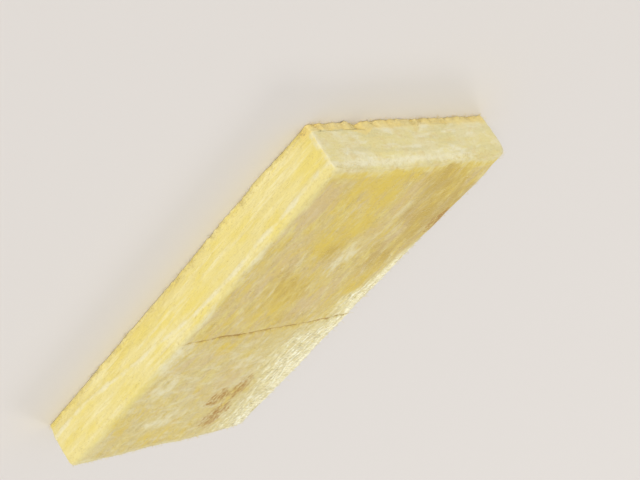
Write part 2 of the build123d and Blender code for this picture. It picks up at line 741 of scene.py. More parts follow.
@dataclass
class FeltBatt:
    """The batt's body: its outline, its crease, its torn top end and its fibrous relief.

    Sizes and places are in metres in the row frame, and those with _mm are in millimetres.
    """

    # What map_finish notes at each point, for the finish to read
    MASKS = (
        "end_cut",
        "side_cut",
        "rolled",
        "lit",
        "rippled",
        "below",
        "from_crease",
        "back_layer",
        "gold",
        "beige",
        "olive",
        "pale",
    )

    # Among these patches the olive ones are painted shade, and the pale ones along the left arris
    # painted highlight
    # Where the resin shows in each tone on the room side, read off the photo
    GOLD = (
        Patch(-0.135, 0.650, 0.100, 0.075),
        Patch(-0.068, 0.705, 0.120, 0.050),
        Patch(-0.282, 0.712, 0.090, 0.030, 0.7),
        Patch(0.165, 0.700, 0.090, 0.060, 0.9),
        Patch(0.245, 0.560, 0.060, 0.140, 0.7),
        Patch(-0.085, 0.450, 0.090, 0.150),
        Patch(-0.020, 0.575, 0.045, 0.080, 0.9),
        Patch(0.110, 0.470, 0.020, 0.070, 0.8),
        Patch(-0.098, 0.108, 0.090, 0.130, 0.9),
        Patch(-0.150, -0.130, 0.045, 0.045, 0.9),
        Patch(0.240, 0.100, 0.070, 0.150, 0.7),
        Patch(-0.320, -0.500, 0.060, 0.120, 0.6),
        Patch(-0.120, -0.680, 0.140, 0.090, 0.45),
        Patch(0.015, 0.385, 0.060, 0.070, 0.6),
        Patch(0.120, -0.480, 0.060, 0.080, 0.5),
    )
    BEIGE = (
        Patch(-0.315, 0.590, 0.050, 0.120),
        Patch(0.066, 0.570, 0.028, 0.170),
        Patch(0.205, 0.410, 0.030, 0.140),
        Patch(0.125, 0.400, 0.020, 0.080, 0.4),
        Patch(-0.250, 0.310, 0.050, 0.170, 0.7),
        Patch(0.060, 0.080, 0.110, 0.090, 0.6),
        Patch(-0.220, -0.200, 0.110, 0.060, 0.6),
        Patch(0.030, -0.370, 0.120, 0.120, 0.6),
    )
    # Painted shade: darker olive patches over the right part of the room side and along the lower
    # right arris
    OLIVE_SHADE = (
        Patch(0.165, 0.650, 0.070, 0.090),
        Patch(0.285, 0.480, 0.110, 0.150),
        Patch(0.150, 0.520, 0.040, 0.120, 0.8),
        Patch(-0.060, 0.330, 0.040, 0.060, 0.6),
        Patch(-0.100, 0.140, 0.100, 0.080, 0.6),
        Patch(-0.190, 0.245, 0.040, 0.050, 0.7),
        Patch(-0.020, -0.010, 0.070, 0.040, 0.5),
        Patch(0.230, 0.300, 0.080, 0.120, 0.7),
        Patch(0.385, -0.550, 0.016, 0.250, 0.35),
    )
    # Pale patches; those along the left arris are painted highlight
    PALE_AND_ARRIS_HIGHLIGHT = (
        Patch(0.031, 0.295, 0.040, 0.100, 0.75),
        Patch(0.110, 0.510, 0.022, 0.140, 0.60),
        Patch(-0.382, 0.330, 0.018, 0.160, 0.55),
        Patch(-0.380, 0.060, 0.020, 0.110, 0.60),
        Patch(-0.350, -0.150, 0.040, 0.100, 0.70),
        Patch(-0.120, -0.560, 0.075, 0.050, 0.80),
        Patch(-0.280, -0.330, 0.050, 0.080, 0.60),
        Patch(0.040, -0.260, 0.050, 0.050, 0.60),
    )

    # Waves, lumps and fibre bundles of each side, and the shreds along the back arrises,
    # each by its height in millimetres, its grain in metres and its seed
    ROOM_LUMPS = (
        (3.2, (0.22, 0.42, 1), 11),
        (2.4, (0.060, 0.110, 1), 12),
        (2.0, (0.026, 0.060, 1), 13),
        (1.2, (0.016, 0.026, 1), 14),
    )
    SIDE_LUMPS = (
        (3.4, (1, 0.28, 0.10), 15),
        (1.4, (1, 0.11, 0.015), 16),
        (0.8, (1, 0.026, 0.012), 17),
    )
    END_LUMPS = (
        (1.8, (0.14, 1, 0.09), 18),
        (0.7, (0.20, 1, 0.010), 19),
        (0.6, (0.020, 1, 0.012), 20),
    )
    SHREDS = ((4.6, (0.070, 0.070, 0.200), 21), (6.5, (0.240, 0.190, 0.400), 25))

    # How far the wrinkles stray, in radians of their wave
    WRINKLE_BENDS = ((3.2, (0.06, 0.07, 0.06), 23), (1.5, (0.03, 0.03, 0.03), 24))

    # Grid lines by their distance from an arris, the crease or the back face
    ARRIS_LINES = (0, 0.0025, 0.006, 0.010, 0.0145, 0.0195)
    ROLL_LINES = tuple(0.0045 * k for k in range(10))
    FOLD_LINES = np.array([0, 0.0012, 0.0027, 0.0048, 0.0075, 0.0105, 0.0138, 0.0172])
    SPLIT_LINES = (*ARRIS_LINES, 0.0235, 0.0262, 0.0275, 0.0295, 0.0315, 0.0328, 0.036, 0.041)
    TOP_LINES = (0, 0.0025, 0.006, 0.0105, 0.0145)

    # How far the top end's arris is worn back along the room side, by X
    WORN = (
        (-0.40, 0.001),
        (-0.33, 0.010),
        (-0.20, 0.021),
        (-0.09, 0.020),
        (0.00, 0.011),
        (0.11, 0.015),
        (0.20, 0.005),
        (0.40, 0.001),
    )

    # Where the silky band begins, as pairs of Y and X
    SILKY_FROM = (
        (-0.750, 0.080),
        (-0.570, 0.080),
        (-0.480, 0.110),
        (-0.350, 0.045),
        (-0.190, 0.020),
        (-0.130, 0.080),
        (-0.050, 0.160),
        (0.050, 0.190),
        (0.090, 0.262),
        (0.180, 0.284),
        (0.270, 0.312),
        (0.360, 0.345),
    )

    # The slab and the radii of its arrises
    width: float = 0.800
    length: float = 1.500
    thickness: float = 0.160
    face_crown: float = 0.003
    side_swell: float = 0.004
    back_arris: float = 0.005
    left_arris: float = 0.014
    right_arris: float = 0.042
    end_arris: float = 0.005

    # The fold crease
    crease_from_top: float = 0.828
    crease_depth: float = 0.008
    crease_half_width: float = 0.017
    crease_wander: float = 0.005

    # The split back layer at the top end, its torn edge and the notch
    layer: float = 0.027
    split_opening: float = 0.005
    split_depth: float = 0.060
    split_from_left: float = 0.034
    split_length: float = 0.176
    tear_depth: float = 0.009
    tear_wave: float = 0.046
    notch_width: float = 0.040
    notch_depth: float = 0.034
    end_give: float = 0.110
    layer_hang: float = 0.022
    layer_hang_half: float = 0.050
    layer_reach: float = 0.045

    # Relief of single features, and the wrinkles' wave
    layer_relief_mm: float = 1.2
    pale_relief_mm: float = 2.6
    shred_base_mm: float = 0.4
    wrinkle_relief_mm: float = 0.8
    wrinkle_apart: float = 0.033
    wrinkle_slant: float = 0.4

    # The silky band, the knife marks, the painted highlight streak on a fold below the left arris,
    # and how far the felt of one side comes over the next
    silky_width: float = 0.260
    knife_z: float = 0.141
    knife_half: float = 0.014
    streak_z: float = 0.134
    streak_fall: float = 0.085
    rim_from_end: float = 0.026
    lip_reach: float = 0.030
    side_reach: float = 0.030

    # Where a mask is none and where it is full: along X, Y or Z, or by a distance
    shred_z: Span = (0.032, 0.008)
    ragged_z: Span = (0.020, 0.004)
    room_felt_z: Span = (0.116, 0.141)
    silky_z: Span = (0.126, 0.152)
    silky_y: Span = (0.40, 0.29)
    widening_y: Span = (0.12, -0.10)
    lit_x: Span = (0.285, 0.345)
    lit_y: Span = (-0.76, -0.58)
    ripple_shade_y: Span = (-0.30, -0.50)
    ripple_shade_z: Span = (0.138, 0.154)
    knife_x: Span = (0.26, 0.16)
    arris_highlight_corner: Span = (0.026, 0.004)
    streak_y: Span = (0.15, -0.65)
    streak_half: Span = (0.011, 0.002)
    rim_half: Span = (0.024, 0.008)
    faded_x: Span = (-0.358, -0.392)

    # The grid's spacing, and how few of its lines the back face has
    grid_step: float = 0.0050
    back_every: int = 4
    attributes: dict[str, np.ndarray] = field(default_factory=dict)

    @property
    def half(self) -> float:
        """Half its width."""
        return self.width / 2

    @property
    def end_y(self) -> float:
        """Where the top end is."""
        return self.length / 2

    @property
    def crease_y(self) -> float:
        """Where the crease crosses the middle of the room side."""
        return self.end_y - self.crease_from_top

    @property
    def notch_x(self) -> float:
        """Where the tear ends in its notch."""
        return -self.half + self.split_from_left + self.split_length

    def wander(self, x: np.ndarray) -> np.ndarray:
        """Let the crease stray from straight.

        Args:
            x: Places along it.

        Returns:
            How far it strays towards the top end at each.
        """
        u = (x + self.half + 0.01) / (self.width + 0.02)
        slow = 0.55 * np.sin(2 * math.pi * (1.15 * u + 0.08))
        quick = 0.45 * np.sin(2 * math.pi * (3.3 * u + 0.41))
        return self.crease_wander * (slow + quick)

    def grid(self) -> tuple[np.ndarray, np.ndarray, np.ndarray]:
        """Place the grid lines, close together at the arrises, the crease and the split.

        Returns:
            The lines along X, Y and Z.
        """
        half, end, step = self.half, self.end_y, self.grid_step
        x = graded(-half, half, step, self.ARRIS_LINES, self.ROLL_LINES)
        y = graded(-end, end, step, self.ARRIS_LINES, self.ARRIS_LINES)
        fold = self.crease_y + np.concatenate([-self.FOLD_LINES[:0:-1], self.FOLD_LINES])
        clear = 0.6 * step
        y = y[(y < fold[0] - clear) | (y > fold[-1] + clear)]
        y = np.sort(np.concatenate([y, fold]))
        z = graded(0, self.thickness, step, self.SPLIT_LINES, self.TOP_LINES)
        return x, y, z

    def lattice(self) -> tuple[np.ndarray, list[tuple[int, ...]]]:
        """The points and faces of a plain box with the grid on it.

        The back face, which lies on the floor, has only every few lines.

        Returns:
            The points, and the faces as rings of point numbers.
        """
        x, y, z = self.grid()
        nx, ny, nz = len(x), len(y), len(z)
        back_i = sorted({*range(0, nx, self.back_every), nx - 1})
        back_j = sorted({*range(0, ny, self.back_every), ny - 1})
        keep = np.zeros((nx, ny, nz), bool)
        keep[[0, -1]] = True
        keep[:, [0, -1]] = True
        keep[:, :, -1] = True
        keep[np.ix_(back_i, back_j, [0])] = True
        number = np.full(keep.shape, -1)
        number[keep] = np.arange(keep.sum())
        i, j, k = np.nonzero(keep)
        points = np.stack([x[i], y[j], z[k]], axis=1)

        def quads(sheet: np.ndarray, flip: bool) -> list[tuple[int, ...]]:
            """Cut a sheet into its cells.

            Args:
                sheet: Point numbers by row and column.
                flip: Whether the cells face the other way.

            Returns:
                The cells as rings of point numbers.
            """
            ring = [sheet[:-1, :-1], sheet[1:, :-1], sheet[1:, 1:], sheet[:-1, 1:]]
            if flip:
                ring.reverse()
            return [tuple(r) for r in np.stack([a.ravel() for a in ring], axis=1).tolist()]

        faces = quads(number[:, :, -1], False)
        faces += quads(number[0], True) + quads(number[-1], False)
        faces += quads(number[:, 0], False) + quads(number[:, -1], True)
        for a, b in zip(back_i, back_i[1:]):
            for c, d in zip(back_j, back_j[1:]):
                ring = [(p, c) for p in range(a, b)] if c == 0 else [(a, c)]
                ring += [(b, q) for q in range(c, d)] if b == nx - 1 else [(b, c)]
                ring += [(p, d) for p in range(b, a, -1)] if d == ny - 1 else [(b, d)]
                ring += [(a, q) for q in range(d, c, -1)] if a == 0 else [(a, d)]
                faces.append(tuple(int(number[p, q, 0]) for p, q in reversed(ring)))
        return points, faces

    def rounded(self, box: np.ndarray) -> np.ndarray:
        """Round the box's arrises, crown its face and swell its sides.

        Args:
            box: Points on the plain box.

        Returns:
            The same points on the soft slab.
        """
        half, top = self.half, self.thickness
        points = box.copy()
        inward = np.zeros((len(box), 2))
        inset = np.full(len(box), np.inf)
        edges = (
            (half + box[:, 0], (1, 0)),
            (half - box[:, 0], (-1, 0)),
            (box[:, 2], (0, 1)),
            (top - box[:, 2], (0, -1)),
        )
        for away, way in edges:
            nearer = away < inset
            inset = np.where(nearer, away, inset)
            inward[nearer] = way
        corners = (
            (-1, 0, self.back_arris),
            (1, 0, self.back_arris),
            (-1, 1, self.left_arris),
            (1, 1, self.right_arris),
        )
        for sx, up, radius in corners:
            cx = sx * (half - radius)
            cz = top - radius if up else radius
            dx, dz = box[:, 0] - cx, box[:, 2] - cz
            here = (dx * sx > 0) & (dz * (1 if up else -1) > 0)
            far = np.maximum(np.abs(dx), np.abs(dz))
            size = np.maximum(np.hypot(dx, dz), TINY)
            points[here, 0] = (cx + dx * far / size)[here]
            points[here, 2] = (cz + dz * far / size)[here]
            inward[here] = (-np.stack([dx, dz], axis=1) / size[:, None])[here]
        # The ends' arrises
        r = self.end_arris
        from_end = self.end_y - np.abs(box[:, 1])
        a = np.clip(r - from_end, 0, r)
        b = np.clip(r - inset, 0, r)
        size = np.maximum(np.hypot(a, b), TINY)
        far = np.maximum(a, b)
        both = (a > 0) & (b > 0)
        drawn_a = np.where(both, a * far / size, a)
        drawn_b = np.where(both, b * far / size, b)
        points[:, 1] = np.sign(box[:, 1]) * (self.end_y - from_end - (a - drawn_a))
        shift = np.where(both, b - drawn_b, 0)
        points[:, 0] += inward[:, 0] * shift
        points[:, 2] += inward[:, 1] * shift
        # The crown and the swell
        crown = self.face_crown * (points[:, 0] / half) ** 2
        swell = self.side_swell * ((points[:, 2] - top / 2) / (top / 2)) ** 2
        points[:, 2] *= (top - crown) / top
        points[:, 0] *= (half - swell) / half
        return points

    def fold(self, points: np.ndarray) -> np.ndarray:
        """Press the crease into the room side: two soft lips that meet in a line.

        Args:
            points: Points on the soft slab; they are moved in place.

        Returns:
            Each point's distance from the crease along the length.
        """
        near = 1 - ramp(np.abs(points[:, 1] - self.crease_y), 0.02, 0.12)
        high = ramp(points[:, 2], self.thickness - 0.05, self.thickness - 0.01)
        points[:, 1] += self.wander(points[:, 0]) * near * high
        away = points[:, 1] - self.crease_y - self.wander(points[:, 0])
        w, d = self.crease_half_width, self.crease_depth
        lip = (w * w + d * d) / (2 * d)
        inside = np.clip(w - np.abs(away), 0, w)
        depth = lip - np.sqrt(lip * lip - inside * inside)
        pressed = np.minimum(points[:, 2], self.thickness - depth)
        points[:, 2] = np.where(high > 0.5, pressed, points[:, 2])
        return away

    def tear(self, points: np.ndarray, noise: Noise) -> None:
        """Split the back layer off at the top end, and tear its edge up to a notch.

        Args:
            points: Points on the soft slab; they are moved in place.
            noise: Noise for the ragged edge.
        """
        x, y, z = points.T
        # The torn edge: waves along X, smaller past the notch, and less at the floor
        flat = points * np.array([1.0, 0.0, 0.0])
        wave = 0.5 + 0.2 * np.sin(2 * math.pi * x / self.tear_wave)
        wave += 0.12 * np.sin(2 * math.pi * x / (0.43 * self.tear_wave) + 1.3)
        wave += 0.30 * noise.at(flat, (0.060, 1, 1)) + 0.80 * noise.at(flat, (0.016, 1, 1))
        right_of = ramp(x, self.notch_x - 0.005, self.notch_x + 0.02)
        drawn = self.tear_depth * wave * (1 - 0.20 * right_of)
        drawn *= ramp(z, self.layer + 0.001, self.layer - 0.004)
        drawn *= 0.35 + 0.65 * ramp(z, self.layer, 0.004)
        # The notch
        gap = np.abs(x - self.notch_x) / (self.notch_width / 2)
        gap += 0.18 * noise.at(flat, (0.006, 1, 1))
        notch = self.notch_depth * np.clip(1 - gap, 0, 1) ** 1.2
        notch *= z < self.layer + self.split_opening - 0.0002
        # The split, whose grid lines lie inside its opening
        start, stop = self.notch_x - self.split_length, self.notch_x
        span = ramp(x, start, start + 0.012) * ramp(x, stop + 0.004, stop - 0.001)
        middle = self.layer + self.split_opening / 2
        split = self.split_depth * span * (np.abs(z - middle) < 0.0012)
        drawn = np.maximum(np.maximum(drawn, notch), split)
        # The worn arris on the room side
        worn = np.interp(x, *zip(*self.WORN)) * (y > 0)
        drawn += worn * ramp(z, 0.100, self.thickness) ** 2
        points[:, 1] -= drawn * np.clip(1 - (self.end_y - y) / self.end_give, 0, 1) ** 1.5

    def normals(self, points: np.ndarray, faces: list[tuple[int, ...]]) -> np.ndarray:
        """Work out normals from the first three corners of each face.

        Args:
            points: Points on the slab.
            faces: Rings of point numbers.

        Returns:
            A unit normal for each point.
        """
        rings = np.array([f[:3] for f in faces])
        a, b, c = points[rings[:, 0]], points[rings[:, 1]], points[rings[:, 2]]
        tilt = np.cross(b - a, c - a)
        total = np.zeros_like(points)
        for corner in range(3):
            np.add.at(total, rings[:, corner], tilt)
        for ring, n in zip(faces, tilt):
            for corner in ring[3:]:
                total[corner] += n
        return total / np.maximum(np.linalg.norm(total, axis=1, keepdims=True), TINY)

    def relief(self, points: np.ndarray, normal: np.ndarray) -> np.ndarray:
        """How far each point stands out, from the felt's waves, lumps and layers.

        Args:
            points: Points on the soft slab.
            normal: Their normals.

        Returns:
            Distances along the normals, in metres.
        """
        x, y, z = points.T
        up = np.clip(normal[:, 2], 0, 1)
        side, end = np.abs(normal[:, 0]), np.abs(normal[:, 1])
        out = lumps(points, self.ROOM_LUMPS) * up
        out += lumps(points, self.SIDE_LUMPS) * side
        out += lumps(points, self.END_LUMPS) * end
        # Ragged back arrises, with a few longer shreds low down
        low = ramp(z, *self.shred_z) * np.maximum(side, end)
        shred = lumps(points, self.SHREDS) + self.shred_base_mm
        ragged = 3.4 * Noise(22).at(points, (0.015, 0.015, 0.060))
        ragged += 9.0 * np.clip(Noise(43).at(points, (0.017, 0.017, 0.030)) - 0.30, 0, 0.5)
        out += shred * low + ragged * low * ramp(z, *self.ragged_z)
        out += self.layer_relief_mm * self.attributes["back_layer"] * end
        out += self.pale_relief_mm * self.attributes["pale"] * side
        # Broad wrinkles across the rolled arris; the fine ones are in the finish
        phase = 2 * math.pi * (y + self.wrinkle_slant * x) / self.wrinkle_apart
        ridge = np.sin(phase + lumps(points, self.WRINKLE_BENDS))
        out += self.wrinkle_relief_mm * ridge * self.attributes["rolled"]
        # The back face rests on the floor
        return out * MM * ramp(normal[:, 2], -0.9, -0.3)

    def silky_band(self, points: np.ndarray) -> np.ndarray:
        """How silky the felt is, and where its sheen is painted: in a strip above the crease,
        widest just below it.

        Args:
            points: Points on the soft slab.

        Returns:
            A share from 0 to 1 for each.
        """
        x, y, z = points.T
        wide = 0.25 + 0.75 * ramp(y, *self.widening_y)
        inner = np.interp(y, *zip(*self.SILKY_FROM))
        inner = inner + 0.040 * wide * Noise(31).at(points, (0.05, 0.13, 1))
        inner += 0.018 * wide * Noise(34).at(points, (0.016, 0.040, 1))
        band = ramp(x, inner, inner + self.silky_width * wide) * ramp(z, *self.silky_z)
        return band * ramp(y, *self.silky_y)

    def torn_layer(self, points: np.ndarray) -> np.ndarray:
        """How much the torn back layer shows, down to a ragged edge with a point at the notch.

        Args:
            points: Points on the soft slab.

        Returns:
            A share from 0 to 1 for each.
        """
        x, y, z = points.T
        from_point = np.abs(x - self.notch_x - 0.004) / self.layer_hang_half
        hang = self.layer_hang * np.clip(1 - from_point, 0, 1)
        edge = self.layer + 0.002 + hang + 0.004 * Noise(32).at(points, (0.04, 1, 1))
        edge += 0.003 * Noise(46).at(points, (0.014, 1, 1))
        faint = 0.002 + 0.006 * ramp(x, self.notch_x + 0.02, self.notch_x + 0.08)
        patchy = 0.88 + 0.34 * Noise(47).at(points, (0.045, 1, 0.014))
        patchy -= 0.12 * ramp(x, self.notch_x + 0.02, self.notch_x + 0.12)
        shown = ramp(z, edge + faint, edge - faint) * (y > self.end_y - self.layer_reach)
        return shown * np.clip(patchy, 0.45, 1)

    def knife_marks_and_highlights(
        self, points: np.ndarray, on_end: np.ndarray, on_side: np.ndarray
    ) -> np.ndarray:
        """Pale bands: where the knife dragged the fibres on the end, and painted highlight on its
        arris and on a raised fold along the left side.

        Args:
            points: Points on the soft slab.
            on_end: Which of them are on an end.
            on_side: How far each is on a long side, from 0 to 1.

        Returns:
            How pale each point is.
        """
        x, y, z = points.T
        reach = self.knife_half + 0.005 * Noise(33).at(points, (0.05, 1, 1))
        drag = np.clip(1 - np.abs(z - self.knife_z) / reach, 0, 1)
        drag = drag * ramp(x, *self.knife_x) * on_end * (y > 0)
        # Painted highlight on the upright arris at the top end's left corner
        arris = ramp(np.hypot(x + self.half, y - self.end_y), *self.arris_highlight_corner)
        # A pale streak on a raised fold below the left arris: the fold is relief, its paleness
        # painted highlight
        middle = self.streak_z - self.streak_fall * ramp(y, *self.streak_y)
        middle += 0.006 * Noise(36).at(points, (1, 0.10, 1))
        streak = ramp(np.abs(z - middle), *self.streak_half) * on_side * (x < 0)
        streak *= np.clip(0.85 + 0.6 * Noise(44).at(points, (1, 0.075, 1)), 0.45, 1.1)
        return np.maximum(np.maximum(1.3 * drag, 0.55 * arris), 0.9 * streak)

    def map_finish(self, box: np.ndarray, points: np.ndarray, from_crease: np.ndarray) -> None:
        """Note at each point what its finish needs to know.

        Args:
            box: The points on the plain box.
            points: The same points on the soft slab.
            from_crease: Their distances from the crease.
        """
        half, top, end = self.half, self.thickness, self.end_y
        x, y, z = points.T
        box_x, box_y, box_z = box.T
        on_end = (np.abs(box_y) > end - NEAR) & (box_z > 0.002) & (box_z < top - 0.004)
        on_side = (np.abs(box_x) > half - NEAR) & (box_z < top - 0.008)
        room = box_z > top - NEAR
        # The room side's felt goes on round the rolled arris and fades out below it
        upper = z + 0.005 * Noise(45).at(points, (1, 0.05, 0.02))
        upper = ramp(upper, *self.room_felt_z) * (box_x > half - NEAR)
        on_side = on_side * (1 - upper)
        shown = np.maximum(room, upper)
        # The long side's felt comes a little way over the left arris and the top end's rim
        reach = self.side_reach + 0.030 * ramp(y, 0.2, -0.3) + 0.020 * ramp(y, 0.42, 0.66)
        reach *= 1 + 0.5 * Noise(35).at(points, (0.03, 0.06, 1))
        rim = ramp(np.abs(box_y - end + self.rim_from_end), *self.rim_half)
        over = np.maximum(0.90 * ramp(x + half, reach, 0.2 * reach), 0.68 * rim)
        over *= box_z > top - 0.009
        # The ends' felt fades out over the room side's first few centimetres
        lip = self.lip_reach * (1 + 0.6 * Noise(37).at(points, (0.05, 1, 1)))
        lip = 0.80 * ramp(end - np.abs(box_y), lip, -0.1 * lip) * (box_z > top - 0.0045)
        patches = {"gold": self.GOLD, "beige": self.BEIGE, "olive": self.OLIVE_SHADE, "pale": self.PALE_AND_ARRIS_HIGHLIGHT}
        soft = {
            name: np.maximum.reduce([oval.at(points) for oval in ovals]) * shown
            for name, ovals in patches.items()
        }
        soft["gold"] = np.maximum(soft["gold"], 0.6 * rim * room) * (1 - lip)
        soft["olive"] = soft["olive"] * (1 - lip)
        soft["pale"] = np.maximum(soft["pale"], self.knife_marks_and_highlights(points, on_end, on_side))
        band = self.silky_band(points)
        faded = 0.02 * ramp(x, *self.faded_x)
        self.attributes = {
            "end_cut": np.maximum(on_end, lip),
            "side_cut": np.where(on_end, 0, np.maximum(on_side, over)),
            # The silky band is glossier felt with painted sheen; the next two carry a painted
            # highlight near the right arris and painted shade in the wrinkles' troughs
            "rolled": band,
            "lit": band * ramp(x, *self.lit_x) * ramp(y, *self.lit_y),
            "rippled": band * ramp(y, *self.ripple_shade_y) * ramp(z, *self.ripple_shade_z),
            "below": ramp(y, self.crease_y + 0.04, self.crease_y - 0.10),
            "from_crease": np.where(room, np.abs(from_crease), 1.0) + faded,
            "back_layer": self.torn_layer(points),
            **soft,
        }

    def build(self, finish: FeltFinish) -> bpy.types.Object:
        """Make the body as one closed mesh.

        Args:
            finish: What it is made of.

        Returns:
            The mesh object.
        """
        box, faces = self.lattice()
        points = self.rounded(box)
        from_crease = self.fold(points)
        self.tear(points, Noise(7))
        self.map_finish(box, points, from_crease)
        normal = self.normals(points, faces)
        points = points + normal * self.relief(points, normal)[:, None]
        points[:, 2] = np.maximum(points[:, 2], 0)
        mesh = bpy.data.meshes.new("felt_batt")
        mesh.from_pydata(points.tolist(), [], faces)
        for name in self.MASKS:
            noted = mesh.attributes.new(name, "FLOAT", "POINT")
            noted.data.foreach_set("value", self.attributes[name].astype(np.float32))
        mesh.polygons.foreach_set("use_smooth", [True] * len(mesh.polygons))
        mesh.materials.append(finish.build())
        mesh.update()
        batt = bpy.data.objects.new("felt_batt", mesh)
        bpy.context.scene.collection.objects.link(batt)
        return batt


@dataclass(frozen=True)
class FibreGrowth:
    """How loose fibres stand on one part of the felt.

    They stand straight out at a lean of 0, and lie flat at 1: every way, but more along
    the flow. They are drawn far thicker than real ones, which are too fine to show.
    """

    name: str
    per_square_metre: float
    shortest_mm: float
    longest_mm: float
    thickness_mm: float
    lean: float
    bend_mm: float
    flow: Size
    seed: int


class FibreTree:
    """Geometry Nodes that grow bent tapering fibres out of a patch of felt."""

    LINE_POINTS = 5
    RING_SIDES = 3
    TIP_SHARE = 0.25
    CURLS_PER_METRE = 85.0

    # Fibres stay off the floor and within what fabric may stand proud of the solid
    LOWEST = 0.0002
    HIGHEST = 0.1735

    INPUTS = (
        ("Fibres per square metre", "NodeSocketFloat"),
        ("Shortest", "NodeSocketFloat"),
        ("Longest", "NodeSocketFloat"),
        ("Thickness", "NodeSocketFloat"),
        ("Lean", "NodeSocketFloat"),
        ("Bend", "NodeSocketFloat"),
        ("Flow", "NodeSocketVector"),
        ("Seed", "NodeSocketInt"),
        ("Finish", "NodeSocketMaterial"),
    )

    def __init__(self) -> None:
        """Build the tree once, for every growth to share."""
        self.tree = bpy.data.node_groups.new("grow_fibres", "GeometryNodeTree")
        face = self.tree.interface
        face.new_socket("Felt", in_out="INPUT", socket_type="NodeSocketGeometry")
        self.ids = {
            name: face.new_socket(name, in_out="INPUT", socket_type=kind).identifier
            for name, kind in self.INPUTS
        }
        face.new_socket("Fibres", in_out="OUTPUT", socket_type="NodeSocketGeometry")
        self.link_nodes()

    def link_nodes(self) -> None:
        """Scatter points, stand a line on each, bend it, give it a thin tapering skin."""
        add = partial(add_node, self.tree)
        given = add("NodeGroupInput").outputs
        felt = {
            "Mesh": given["Felt"],
            "Density": given["Fibres per square metre"],
            "Seed": given["Seed"],
        }
        points = add("GeometryNodeDistributePointsOnFaces", None, felt)
        stray = add(
            "FunctionNodeRandomValue",
            {"data_type": "FLOAT_VECTOR", "Min": (-1, -1, -1), "Max": (1, 1, 1)},
            {"Seed": given["Seed"]},
        )
        links = {0: stray.outputs[0], 1: given["Flow"]}
        lying = add("ShaderNodeVectorMath", {"operation": "ADD"}, links)
        aim = add(
            "ShaderNodeMix",
            {"data_type": "VECTOR"},
            {FACTOR: given["Lean"], VECTOR_A: points.outputs["Normal"], VECTOR_B: lying.outputs[0]},
        )
        links = {"Vector": aim.outputs[1]}
        turn = add("FunctionNodeAlignRotationToVector", {"axis": "Z"}, links)
        size = add(
            "FunctionNodeRandomValue",
            {"data_type": "FLOAT"},
            {FLOAT_MIN: given["Shortest"], FLOAT_MAX: given["Longest"], "Seed": given["Seed"]},
        )
        line = add("GeometryNodeCurvePrimitiveLine", {"Start": (0, 0, 0), "End": (0, 0, 1)})
        parts = add(
            "GeometryNodeResampleCurve", {"Count": self.LINE_POINTS}, {"Curve": line.outputs[0]}
        )
        stood = add(
            "GeometryNodeInstanceOnPoints",
            None,
            {
                "Points": points.outputs["Points"],
                "Instance": parts.outputs[0],
                "Rotation": turn.outputs[0],
                "Scale": size.outputs[1],
            },
        )
        real = add("GeometryNodeRealizeInstances", None, {0: stood.outputs[0]})
        # A fibre strays more towards its tip
        along = add("GeometryNodeSplineParameter").outputs["Factor"]
        curl = add("ShaderNodeTexNoise", {"Scale": self.CURLS_PER_METRE, "Detail": 1.0})
        centred = add(
            "ShaderNodeVectorMath",
            {"operation": "SUBTRACT", 1: (0.5, 0.5, 0.5)},
            {0: curl.outputs["Color"]},
        )
        reach = add("ShaderNodeMath", {"operation": "MULTIPLY"}, {0: along, 1: given["Bend"]})
        links = {0: centred.outputs[0], "Scale": reach.outputs[0]}
        offset = add("ShaderNodeVectorMath", {"operation": "SCALE"}, links)
        links = {"Geometry": real.outputs[0], "Offset": offset.outputs[0]}
        bent = add("GeometryNodeSetPosition", None, links)
        taper = {"To Min": 1.0, "To Max": self.TIP_SHARE}
        thin = add("ShaderNodeMapRange", taper, {"Value": along})
        links = {"Curve": bent.outputs[0], "Radius": thin.outputs[0]}
        tapered = add("GeometryNodeSetCurveRadius", None, links)
        ring = add(
            "GeometryNodeCurvePrimitiveCircle",
            {"Resolution": self.RING_SIDES},
            {"Radius": given["Thickness"]},
        )
        links = {"Curve": tapered.outputs[0], "Profile Curve": ring.outputs[0]}
        skin = add("GeometryNodeCurveToMesh", {"Fill Caps": True}, links)
        plain = add("GeometryNodeRealizeInstances", None, {0: skin.outputs[0]})
        links = {"Geometry": plain.outputs[0], "Material": given["Finish"]}
        dressed = add("GeometryNodeSetMaterial", None, links)
        add("NodeGroupOutput", None, {0: dressed.outputs[0]})

    def grow(
        self, patch: bpy.types.Mesh, growth: FibreGrowth, finish: bpy.types.Material
    ) -> bpy.types.Object:
        """Grow fibres on a patch and turn them into a plain mesh.

        Args:
            patch: The faces that the fibres stand on.
            growth: How many, how long and how bent they are.
            finish: Their material.

        Returns:
            The mesh object.
        """
        holder = bpy.data.objects.new("patch", patch)
        bpy.context.scene.collection.objects.link(holder)
        modifier = holder.modifiers.new("grow", "NODES")
        modifier.node_group = self.tree
        values = {
            "Fibres per square metre": growth.per_square_metre,
            "Shortest": growth.shortest_mm * MM,
            "Longest": growth.longest_mm * MM,
            "Thickness": growth.thickness_mm * MM / 2,
            "Lean": growth.lean,
            "Bend": growth.bend_mm * MM,
            "Flow": growth.flow,
            "Seed": growth.seed,
            "Finish": finish,
        }
        for name, value in values.items():
            modifier[self.ids[name]] = value
        shown = bpy.context.evaluated_depsgraph_get()
        mesh = bpy.data.meshes.new_from_object(holder.evaluated_get(shown))
        bpy.data.objects.remove(holder)
        count = len(mesh.vertices)
        places = np.empty(count * 3, np.float32)
        mesh.vertices.foreach_get("co", places)
        places[2::3] = np.clip(places[2::3], self.LOWEST, self.HIGHEST)
        mesh.vertices.foreach_set("co", places)
        mesh.name = growth.name
        mesh.update()
        piece = bpy.data.objects.new(growth.name, mesh)
        bpy.context.scene.collection.objects.link(piece)
        return piece


